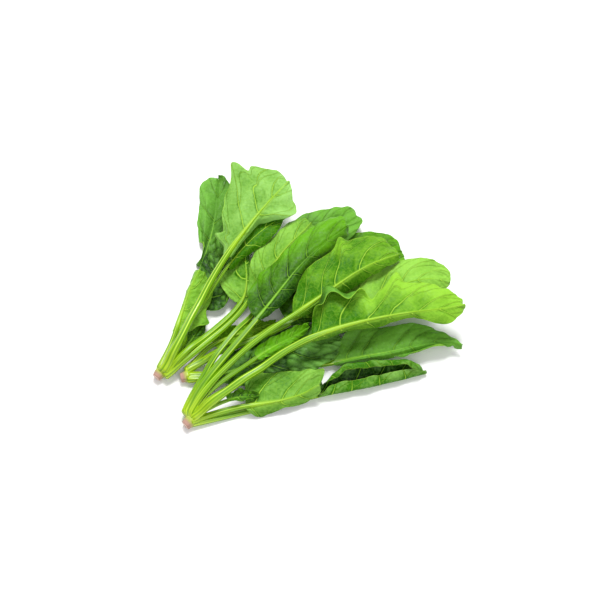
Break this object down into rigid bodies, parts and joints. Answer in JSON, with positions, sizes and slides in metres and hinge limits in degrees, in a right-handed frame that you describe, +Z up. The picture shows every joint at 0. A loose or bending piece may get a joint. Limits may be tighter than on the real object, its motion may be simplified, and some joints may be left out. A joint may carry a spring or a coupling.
{
  "type": "spinach bunch",
  "caption": "Bunch of fresh spinach lying fanned out, with pink cut crowns, juicy stems and broad waved leaves, some turned underside up",
  "frame": {"origin": "on the surface the bunch lies on, under the middle of its outline", "axes": "+X along the longest side of the fan, from the crowns to the front leaf tips; +Y to the far leaf tips; +Z up"},
  "size_m": [0.261, 0.2508, 0.0444],
  "materials": {
    "crown_pink": "matt cut root end, pink to peach",
    "stem_green": "smooth juicy yellow-green stem, paler at the crown",
    "blade_under": "light satin underside of a leaf with raised veins",
    "blade_upper": "dark glossy upper face of a leaf, softly blistered"
  },
  "bodies": {
    "root": {"crown_a": "crown_pink", "crown_b": "crown_pink", "crown_c": "crown_pink", "stems_a": "stem_green", "stems_b": "stem_green", "stems_c": "stem_green", "leaf_a1": "blade_under", "leaf_a2": "blade_under", "leaf_a3": "blade_upper", "leaf_a4": "blade_under", "leaf_a5": "blade_upper", "leaf_a6": "blade_upper", "leaf_a7": "blade_under", "leaf_a8": "blade_under", "leaf_a9": "blade_under", "leaf_b1": "blade_under", "leaf_b2": "blade_upper", "leaf_b3": "blade_upper", "leaf_b4": "blade_upper", "leaf_b5": "blade_under", "leaf_c1": "blade_upper", "leaf_c2": "blade_under", "leaf_c3": "blade_under", "leaf_c4": "blade_under", "leaf_c5": "blade_upper", "leaf_c7": "blade_under", "leaf_c8": "blade_upper", "leaf_c9": "blade_upper", "leaf_c11": "blade_upper"}
  },
  "joints": []
}
